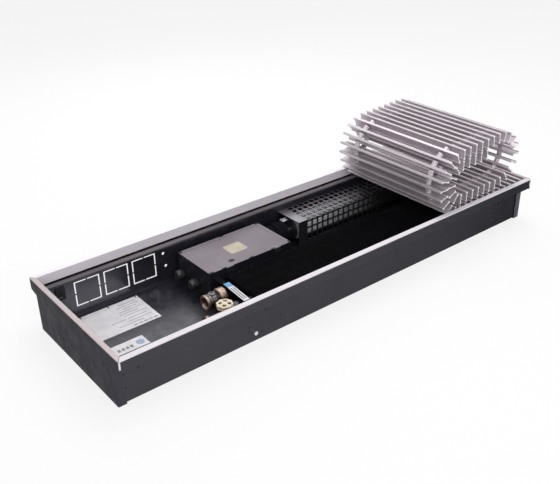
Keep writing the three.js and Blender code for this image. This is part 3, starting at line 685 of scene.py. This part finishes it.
def build_grille():
    places = rolled_chain()
    index = 0
    for name, count, turn, _ in LAYERS:
        groups = [(f"{name}_lamella_{i + 1}", 1) for i in range(count)] if turn else [(name, count)]
        for node, lamellas in groups:
            piece = Piece()
            for i in range(lamellas):
                reach = BUSH_REACH if i < lamellas - 1 else LAST_BUSH_REACH
                if index == len(places) - 1:
                    reach = 0
                add_lamella(piece, places[index], reach)
                index += 1
            piece.place(f"{node}_profile", NODES[node]["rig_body"], "grille_aluminium", replaces=[node])


# ---- trough details ----
FRONT_WALL = -107.6  # y of the front wall's outer face
MARK_DEPTH = 0.08
TROUGH_SHEET = 1.2


def outline_strips(piece, axis, level, u_range, v_range, width, thick=MARK_DEPTH):
    """A rectangle of thin strips on a wall, with a small gap at the middle of each side."""
    gap = 3
    (u0, u1), (v0, v1) = u_range, v_range
    mid_u, mid_v = (u0 + u1) / 2, (v0 + v1) / 2
    strips = []
    for v in (v0, v1 - width):
        strips += [(u0, mid_u - gap, v, v + width), (mid_u + gap, u1, v, v + width)]
    for u in (u0, u1 - width):
        strips += [(u, u + width, v0, mid_v - gap), (u, u + width, mid_v + gap, v1)]
    for a, b, c, d in strips:
        piece.prism(axis, [(a, c), (b, c), (b, d), (a, d)], level, level + thick)


def front_wall_screw(piece, x, z, radius, height):
    """Domed screw head with a flat rim, standing on the front wall."""
    profile = [(0, 0), (0, radius), (0.25 * height, radius), (0.7 * height, radius * 0.8),
               (height, radius * 0.35), (height, 0)]
    piece.lathe("y", (x, z), [(FRONT_WALL - along, r) for along, r in profile], 20)


def build_score_marks():
    """Knock-outs and score marks of the front wall and of the left end plate."""
    marks = Piece()
    for left, width in ((-171, 0.5), (-60, 0.4)):
        outline_strips(marks, "y", FRONT_WALL - MARK_DEPTH, (left, left + 39), (6, 46), width)
    marks.place("front_wall_score_lines", "casing", "black_steel", SCORED_STEEL)
    ends = Piece()
    for left in (-103, -58, 14):
        outline_strips(ends, "x", edge("end_plate_left", "x-") + 0.02, (left, left + 32), (16, 50), 0.5, 0.1)
    ends.place("end_plate_score_lines", "casing", "black_steel", SCORED_STEEL)


def build_fixings():
    """Clinch joints of the end plates, screws, a rivet, and the clipped ends of the frame profile."""
    clinches = Piece()
    for x in (-389, 389):
        for z in (42, 20):
            for side in (-1, 1):
                profile = [(0, 3.2), (0.35, 2.9), (0.4, 2.3), (0.05, 1.7), (0.02, 0)]
                clinches.lathe("y", (x, z), [(side * (109.1 + along), r) for along, r in profile], 20)
    clinches.place("clinch_joints", "casing", "black_steel")
    screws = Piece()
    for x, z, radius in ((14, 53, 2), (343, 41, 1.8), (322, 19, 1.8), (-143, 23, 1.6), (-199.7, 45.5, 1.8),
                         (-196.7, 25, 1.8), (-168.6, 43.6, 1.5)):
        front_wall_screw(screws, x, z, radius, 1.2)
    screws.place("front_wall_screws", "casing", "black_steel")
    cleats = Piece()
    end, rear = edge("frame_rail_right", "x+"), edge("frame_rail_rear", "y+")
    for x in ((-end, 2.4 - end), (end - 2.4, end)):
        for y in ((-rear, 0.35 - rear), (rear - 0.35, rear)):
            cleats.box(x, y, (65.5, 76.3))
    cleats.place("corner_cleats", "casing", "anodised_aluminium")
    # The rivet's pale zinc is a painted highlight.
    rivet = Piece()
    front_wall_screw(rivet, -362.5, 51.6, 1.5, 0.6)
    rivet.place("front_wall_rivet", "casing", "zinc_steel", ZINC_PAINTED_HIGHLIGHT)
    dimple = Piece()
    face = FRONT_WALL - 0.06
    dimple.lathe("y", (-367.1, 45.8), [(FRONT_WALL, 1.7), (face, 1.7), (face, 0)], 20)
    dimple.place("front_wall_dimple", "casing", "black_steel", SHADOW_GAP)


def build_floor_labels():
    """Two white labels; plain rules of uneven length stand for the printing."""
    floor = edge("trough", "z-") + TROUGH_SHEET + 0.02
    film = floor + 0.12
    ink = (film, film + 0.03)
    labels = Piece()
    labels.box((-351, -256), (25, 97), (floor, film))
    labels.box((-352, -302), (-20.3, 2.8), (floor, film))
    labels.place("floor_labels", "casing", "black_steel", WHITE_FILM, bevel=0.04)
    rules = Piece()
    rows = [(-292, -264, 88), (-298, -262, 82), (-290, -268, 76), (-300, -264, 70), (-302, -272, 64),
            (-298, -262, 58), (-322, -300, 50), (-296, -266, 50), (-300, -262, 43), (-318, -278, 37)]
    for x0, x1, y in rows:
        rules.box((x0, x1), (y, y + 1.2), ink)
    for k in range(5):
        rules.box((-298 + k * 8, -292 + k * 8), (29, 31.6), ink)
    for k in range(4):
        rules.box((-347 + k * 6.4, -342.6 + k * 6.4), (-14, -8), ink)
    rules.place("floor_label_rules", "casing", "black_steel", GREY_INK)
    corners = Piece()
    for x in (-349.5, -305.5, -260.5):
        corners.box((x, x + 1.8), (92.5, 97.2), ink)
    corners.place("floor_label_corner_marks", "casing", "black_steel", DARK_INK)
    disc = Piece()
    disc.lathe("z", (-311.5, -9.8), [(film, 6), (film + 0.04, 6), (film + 0.04, 0)], 32)
    disc.place("floor_label_disc", "casing", "black_steel", PALE_BLUE_FILM)


def add_tag_part(name, strips, low, high, material, bevel=0.0):
    """Strips of the tag on the left exchanger bracket's top fold, stuck on slightly askew."""
    fold = edge("exchanger_bracket_left", "z+")
    x, y = middle("exchanger_bracket_left", "x"), middle("exchanger_bracket_left", "y") - 1
    piece = Piece()
    for x0, x1, y0, y1 in strips:
        piece.box((x0, x1), (y0, y1), (fold + low, fold + high))
    turn = Matrix.Rotation(math.radians(-4), 4, "Z")
    piece.bm.transform(Matrix.Translation(Vector((x, y, 0)) * MM) @ turn)
    piece.place(name, "casing", "black_steel", material, bevel=bevel)


def build_bracket_tag():
    half, front, seam, rear = 4.8, -28, 15.5, 27.5
    add_tag_part("bracket_tag_white", [(-half, half, front, seam)], 0, 0.3, TAG_FILM, 0.08)
    add_tag_part("bracket_tag_blue", [(-half, half, seam, rear)], 0, 0.32, BLUE_FILM, 0.08)
    add_tag_part("bracket_tag_rules", [(-2.7, -1.2, -22, 12), (1.0, 2.5, -22, 12)], 0.3, 0.34, DARK_INK)


# ---- electrical box details ----
def build_box_details():
    lid = edge("electrical_box_lid", "z+")
    # Painted shade: dark strips along the lid's folds stand for the shade in the crease.
    fold_shade_lines = Piece()
    for x, y in (((-178, -33), (88.2, 89.2)), ((-33.6, -32.6), (14, 89.2))):
        fold_shade_lines.box(x, y, (lid - 0.05, lid + 0.22))
    fold_shade_lines.place("lid_fold_lines", "casing", "lid_steel", LID_FOLD_SHADE, bevel=0.1)
    dark = lid + 0.06
    slots = Piece()
    slot_x, slot_y, radius, flatness = -132, 22, 5.4, 0.7
    slots.lathe("z", (slot_x, slot_y), [(lid, radius), (dark, radius), (dark, 0)], 28)
    for vertex in slots.bm.verts:
        vertex.co.y = slot_y * MM + (vertex.co.y - slot_y * MM) * flatness
    notches = [(-157, -149, 10, 12.2), (-107, -99, 10, 12.6), (-65, -57, 10, 12.2), (-104, -96, 92.2, 95),
               (-180, -174, 89.5, 95), (-180, -172, 10, 13.5), (-31, -27, 10, 16), (-34, -27, 91, 95)]
    for x0, x1, y0, y1 in notches:
        slots.box((x0, x1), (y0, y1), (lid, dark))
    slots.place("lid_slots", "casing", "lid_steel", SHADOW_GAP)
    sticker = Piece()
    sticker.prism("z", rounded_rectangle(-104.5, 50.5, 31, 27, 4, 5), lid, lid + 0.12)
    sticker.place("lid_sticker", "casing", "lid_steel", CREAM_FILM)


def build_grommet():
    """Black rubber grommet in the cable way, with a slit membrane for the cable."""
    piece = Piece()
    outline = rounded_rectangle(-367.5, 48, 14, 23, 2)
    inner = rounded_rectangle(-367, 47.5, 7.6, 14.6, 1.5)
    piece.frame("y", outline, inner, 104.8, 106.3)
    piece.frame("y", outline, inner, 107.7, 108.9)
    for side, level in ((-1, 106.6), (1, 107.0)):
        slit, far = -367 - side * 0.2, -367 + side * 3.9
        piece.prism("y", [(slit, 40.2), (far, 40.2), (far, 54.8), (slit, 54.8)], level, level + 0.4)
    piece.place("cable_way_grommet", "casing", "rubber_strip", GROMMET_RUBBER, bevel=0.2)


def hexagon(angle, along):
    """A hexagon's radius round the turn, 1 at its corners."""
    sixth = math.pi / 3
    return math.cos(sixth / 2) / math.cos(angle % sixth - sixth / 2)


def dome_ribs(angle, along):
    """Shallow ribs on the gland's dome, plain near its mouth."""
    return 1 + (0.03 if along > -191.5 else 0.0) * math.cos(12 * angle)


def build_glands():
    nut = [(-186.6, 0), (-186.6, 7.6), (-186, 8.2), (-181, 8.2), (-180.3, 7.7), (-180.3, 0)]
    dome = [(-190.5, 3.9), (-193.4, 4.0), (-193.9, 4.6), (-193.6, 5.5), (-192.2, 6.7), (-190, 7.3),
            (-187.4, 7.6), (-186.5, 7.5), (-186.5, 0)]
    inside = [(-178.6, 0), (-178.6, 7.2), (-176, 7.2), (-175.4, 6.6), (-171.4, 5.4), (-171.2, 4),
              (-171.2, 0)]
    mouth = [(-193.2, 4.1), (-193.0, 2.6), (-191.6, 2.2), (-191.4, 0)]
    for name in ("cable_gland_front", "cable_gland_rear"):
        centre = (middle(name, "y"), middle(name, "z"))
        piece = Piece()
        piece.lathe("x", centre, nut, 48, hexagon)
        piece.lathe("x", centre, dome, 72, dome_ribs)
        piece.lathe("x", centre, inside, 32)
        piece.place(f"{name}_body", "casing", "black_plastic", replaces=[name])
        seal = Piece()
        seal.lathe("x", centre, mouth, 28)
        seal.place(f"{name}_seal", "casing", "black_plastic", SHADOW_GAP)


# ---- valves ----
PIPE_Z = middle("union_nut_return", "z")
RETURN_Y = middle("union_nut_return", "y")
SUPPLY_Y = middle("union_nut_supply", "y")


def thread(start, end, low, high, pitch=1.2):
    """Profile points of a thread inside a port."""
    points = []
    count = max(2, int(abs(end - start) / pitch))
    for i in range(count):
        along = start + (end - start) * i / count
        points += [(along, low), (along + (end - start) / count / 2, high)]
    return points


def build_return_valve():
    ring = Piece()
    profile = [(-207.2, 0), (-207.2, 7.2)]
    profile += thread(-207.2, -213.2, 7.2, 7.9)
    profile += [(-213.5, 8.3), (-214, 8.8), (-214, 11.2), (-213.4, 11.9), (-210.2, 12), (-209.4, 11.6),
                (-209.2, 10.6), (-208.6, 10.0), (-208.6, 0)]
    ring.lathe("x", (RETURN_Y, PIPE_Z), profile, 56)
    ring.place("return_valve_ring", "casing", "bronze_brass", replaces=["return_valve_body"])
    barrel = Piece()
    profile = [(-208.8, 0), (-208.8, 10.9), (-208.2, 11.5), (-205.6, 11.5), (-205.0, 10.7), (-204.2, 10.7),
               (-203.6, 11.5), (-198, 11.5), (-196.8, 10.6), (-196.2, 8.9), (-195.6, 8.5), (-192.3, 8.5),
               (-192.3, 0)]
    barrel.lathe("x", (RETURN_Y, PIPE_Z), profile, 64)
    neck = [(PIPE_Z, 0), (PIPE_Z, 5.5), (36, 5.5), (42.6, 5.5), (43.2, 5.2), (43.5, 4.7), (43.5, 3.4),
            (38.6, 3.4), (38.6, 0)]
    barrel.lathe("z", (-201, RETURN_Y), neck, 36)
    barrel.place("return_valve_barrel", "casing", "nickel_brass")


def build_supply_valve():
    port_z = edge("supply_valve_body", "z-") + 10
    body = Piece()
    profile = [(-230.4, 0), (-230.4, 5.8)]
    profile += thread(-230.4, -236.2, 5.8, 6.4)
    profile += [(-236.5, 6.8), (-237, 7.2), (-237, 9.4), (-236.4, 9.9), (-232.2, 10), (-231.4, 9.6),
                (-231, 8.2), (-230, 7.5), (-214, 7.2), (-207, 7.5), (-198.4, 7.5), (-197, 6.4), (-197, 0)]
    body.lathe("x", (SUPPLY_Y, port_z), profile, 56)
    outlet = [(-201, 0), (-201, 7.6), (-200.2, 8.5), (-192.3, 8.5), (-192.3, 0)]
    body.lathe("x", (SUPPLY_Y, PIPE_Z), outlet, 48)
    neck = [(port_z, 0), (port_z, 6.4), (31, 7), (36.5, 7), (37.1, 6.4), (38, 6.4), (38.4, 7), (39.7, 6.8),
            (39.7, 3), (43, 3), (43, 0)]
    body.lathe("z", (CAP_X, SUPPLY_Y), neck, 40)
    body.place("supply_valve_casting", "casing", "bronze_brass", replaces=["supply_valve_body"])


def knurl(angle, along):
    """Fine ridges round the grip of a union nut."""
    depth = 0.012 if -190.4 < along < -182 else 0.0
    return 1 - depth * (1 + math.cos(36 * angle))


def build_union_nuts():
    for name, slot in (("union_nut_return", "bronze_brass"), ("union_nut_supply", "black_steel")):
        r = edge(name, "y+") - middle(name, "y")
        profile = [(-186, 7.8), (-191.4, 7.8), (-191.9, 8.4), (-192, r - 1.4), (-191.2, r - 0.4), (-190, r),
                   (-182.4, r), (-181, r - 0.6), (-180.1, r - 1.4), (-180, 8.4), (-180.4, 7.8), (-186, 7.8)]
        nut = Piece()
        nut.lathe("x", (middle(name, "y"), PIPE_Z), profile, 72, knurl)
        nut.place(f"{name}_collar", "casing", slot, replaces=[name])


def clamp(value):
    return max(0.0, min(1.0, value))


def cap_ring(share):
    """The hand cap's lobed outline at a share of its radius: x, y and angle of each point."""
    points = []
    for angle in angles(128):
        reach = (11.8 + 0.55 * math.cos(8 * angle)) * share
        points.append((CAP_X + reach * math.cos(angle), CAP_Y + reach * math.sin(angle), angle))
    return points


def build_cap():
    """Lobed hand cap: a grooved skirt, and a top with a raised rim and four sunk fields round the hub."""
    skirt = [(0, 0.62), (0, 0.95), (0.3, 0.985), (2.2, 0.985), (2.5, 0.94), (2.5, 0.74), (3.9, 0.74),
             (3.9, 0.94), (4.2, 0.985), (5.4, 1.0), (6.0, 0.985)]
    first_field, field_depth, rim_drop = math.radians(51), 3.2, 0.8

    def top(share, angle):
        field = clamp(2.4 * math.cos(4 * (angle - first_field)) + 0.7)
        band = clamp((share - 0.3) * 20) * clamp((0.74 - share) * 20)
        return CAP_TOP - rim_drop * share ** 3 - field_depth * field * band

    rings = []
    for rise, share in skirt:
        rings.append([Vector((x, y, CAP_LOW + rise)) * MM for x, y, _ in cap_ring(share)])
    for step in range(26):
        share = 0.95 - step * 0.037
        rings.append([Vector((x, y, top(share, angle))) * MM for x, y, angle in cap_ring(share)])
    piece = Piece()
    piece.loft(rings)
    piece.place("supply_valve_hand_cap", "supply_cap", "cream_plastic", smooth=50,
                replaces=["supply_valve_cap"])


# ---- heat exchanger and fan ----
def build_fins():
    """Pack of thin waved fins."""
    left, right = edge("exchanger_fins", "x-"), edge("exchanger_fins", "x+")
    front, rear = edge("exchanger_fins", "y-"), edge("exchanger_fins", "y+")
    low, high = edge("exchanger_fins", "z-"), edge("exchanger_fins", "z+")
    pitch, wave, thick_half, steps = 3.5, 0.45, 0.12, 16
    piece = Piece()
    for i in range(round((right - left) / pitch) + 1):
        x = left + i * pitch
        points = [(x + wave * math.sin(k * math.pi / 2), front + k * (rear - front) / steps)
                  for k in range(steps + 1)]
        outline = [(u + thick_half, v) for u, v in points]
        outline += [(u - thick_half, v) for u, v in reversed(points)]
        piece.prism("z", outline, low, high)
    piece.place("fin_pack", "casing", "fin_coating", smooth=60, replaces=["exchanger_fins"])


# The guard is laid out flat: x along the heater, and s from its rear edge over the fold to the floor.
GUARD_LEFT, GUARD_RIGHT = edge("fan_guard_top", "x-"), edge("fan_guard_top", "x+")
GUARD_REAR, GUARD_FRONT = edge("fan_guard_top", "y+"), edge("fan_guard_top", "y-")
GUARD_TOP = edge("fan_guard_top", "z+")
GUARD_FOLD = GUARD_REAR - GUARD_FRONT
GUARD_END = GUARD_FOLD + GUARD_TOP - edge("fan_guard_front", "z-")
GUARD_SHEET = 1.0
HOLE = 8.5
HOLE_PITCH = 11.8


def on_guard(x, s, depth):
    """The point at x and s of the flat sheet, depth below its outer face."""
    if s <= GUARD_FOLD:
        return Vector((x, GUARD_REAR - s, GUARD_TOP - depth)) * MM
    return Vector((x, GUARD_FRONT + depth, GUARD_TOP + GUARD_FOLD - s)) * MM


def perforated_sheet(xs, ss, columns, rows):
    """A sheet over the grid of xs and ss, open where a column crosses a row."""
    piece = Piece()
    corners = {}

    def corner(x, s, depth):
        if (x, s, depth) not in corners:
            corners[x, s, depth] = piece.bm.verts.new(on_guard(x, s, depth))
        return corners[x, s, depth]

    def within(low, high, openings):
        return any(first < (low + high) / 2 < last for first, last in openings)

    solid = set()
    for i, (left, right) in enumerate(zip(xs, xs[1:])):
        for j, (low, high) in enumerate(zip(ss, ss[1:])):
            if not (within(left, right, columns) and within(low, high, rows)):
                solid.add((i, j))
    for i, j in solid:
        a, b, c, d = xs[i], xs[i + 1], ss[j], ss[j + 1]
        outline = [(a, c), (b, c), (b, d), (a, d)]
        piece.bm.faces.new([corner(*at, 0) for at in outline])
        piece.bm.faces.new([corner(*at, GUARD_SHEET) for at in reversed(outline)])
        neighbours = ((i, j - 1), (i + 1, j), (i, j + 1), (i - 1, j))
        for p, q, neighbour in zip(outline, outline[1:] + outline[:1], neighbours):
            if neighbour not in solid:
                piece.bm.faces.new([corner(*q, 0), corner(*p, 0), corner(*p, GUARD_SHEET),
                                    corner(*q, GUARD_SHEET)])
    return piece


def build_guard():
    """Perforated sheet folded over the fan: square holes in rows from the rear edge to the floor."""
    first_hole, first_row = 47.0 - HOLE / 2, 1.2
    columns = [(first_hole + k * HOLE_PITCH, first_hole + k * HOLE_PITCH + HOLE) for k in range(25)]
    rows = [(first_row + k * HOLE_PITCH, first_row + k * HOLE_PITCH + HOLE) for k in range(8)]
    xs = sorted({GUARD_LEFT, GUARD_RIGHT, *(x for column in columns for x in column)})
    ss = sorted({0.0, GUARD_FOLD, GUARD_END, *(s for row in rows for s in row)})
    for name, node, low, high in (("fan_guard_cover", "fan_guard_top", 0.0, GUARD_FOLD),
                                  ("fan_guard_screen", "fan_guard_front", GUARD_FOLD, GUARD_END)):
        piece = perforated_sheet(xs, [s for s in ss if low <= s <= high], columns, rows)
        piece.place(name, "casing", "black_steel", GUARD_STEEL, bevel=0.15, replaces=[node])


FAN_AXIS = (middle("fan_impeller", "y"), middle("fan_impeller", "z"))
FAN_LEFT, FAN_RIGHT = edge("fan_impeller", "x-"), edge("fan_impeller", "x+")
FAN_RADIUS = 19
SHAFT_HOLE = 3.2


def build_impeller():
    """Cross-flow wheel: 28 curved blades between thin discs."""
    piece = Piece()
    y, z = FAN_AXIS
    for k in range(1, 7):
        x = min(FAN_LEFT + k * (FAN_RIGHT - FAN_LEFT) / 6, FAN_RIGHT - 1)
        disc = [(x, SHAFT_HOLE), (x, FAN_RADIUS), (x + 1, FAN_RADIUS), (x + 1, SHAFT_HOLE), (x, SHAFT_HOLE)]
        piece.lathe("x", FAN_AXIS, disc, 56)
    thick_half = 0.3
    for base in angles(28):
        curve = []
        for share in (0, 0.25, 0.5, 0.75, 1):
            r = 13.4 + 5.4 * share
            angle = base + 0.22 * math.sin(share * math.pi / 2)
            curve.append((y + r * math.cos(angle), z + r * math.sin(angle), angle))
        side_a = [(u - thick_half * math.sin(a), v + thick_half * math.cos(a)) for u, v, a in curve]
        side_b = [(u + thick_half * math.sin(a), v - thick_half * math.cos(a)) for u, v, a in curve]
        piece.prism("x", side_a + side_b[::-1], FAN_LEFT + 0.5, FAN_RIGHT - 0.5)
    piece.place("fan_wheel", "fan_rotor", "fan_aluminium", replaces=["fan_impeller"])
    profile = [(0, SHAFT_HOLE), (0, 6), (0.2, 6.4), (0.2, 16), (0, 16.6), (0, 18.6), (0.3, FAN_RADIUS),
               (1, FAN_RADIUS), (1, SHAFT_HOLE), (0, SHAFT_HOLE)]
    disc = Piece()
    disc.lathe("x", FAN_AXIS, [(FAN_LEFT + along, r) for along, r in profile], 56)
    disc.place("fan_wheel_end_disc", "fan_rotor", "black_plastic")


def build_motor_parts():
    """Turned end cap of the fan motor with its four screws, and a pale zinc clip on its top, put there as a
    painted highlight on the cap's lit top.
    """
    cap = Piece()
    profile = [(11.9, 17.2), (12.6, 17.2), (13.4, 16.2), (13.8, 13), (14.2, 9), (16.4, 8.4), (17.2, 7),
               (17.2, 3.4), (11.9, 3.4), (11.9, 17.2)]
    cap.lathe("x", FAN_AXIS, profile, 48)
    screw_circle = 12.5
    screw = [(13.2, 0), (13.2, 1.7), (14.6, 1.6), (14.9, 1.1), (14.9, 0)]
    for degrees in (45, 135, 225, 315):
        angle = math.radians(degrees)
        centre = (FAN_AXIS[0] + screw_circle * math.cos(angle), FAN_AXIS[1] + screw_circle * math.sin(angle))
        cap.lathe("x", centre, screw, 14)
    cap.place("fan_motor_end_cap", "casing", "black_plastic")
    # Painted highlight: the pale clip stands for light on the top of the cap.
    highlight_clip = Piece()
    highlight_clip.box((12.2, 24.6), (77, 87), (42.6, 46.2))
    highlight_clip.place("fan_motor_highlight_clip", "casing", "zinc_steel", bevel=1.0)


def build_all():
    add_camera()
    add_surroundings()
    dress_nodes()
    build_grille()
    build_score_marks()
    build_fixings()
    build_floor_labels()
    build_bracket_tag()
    build_box_details()
    build_grommet()
    build_glands()
    build_return_valve()
    build_supply_valve()
    build_union_nuts()
    build_cap()
    build_fins()
    build_guard()
    build_impeller()
    build_motor_parts()


build_all()
bpy.context.scene.view_settings.view_transform = "Standard"
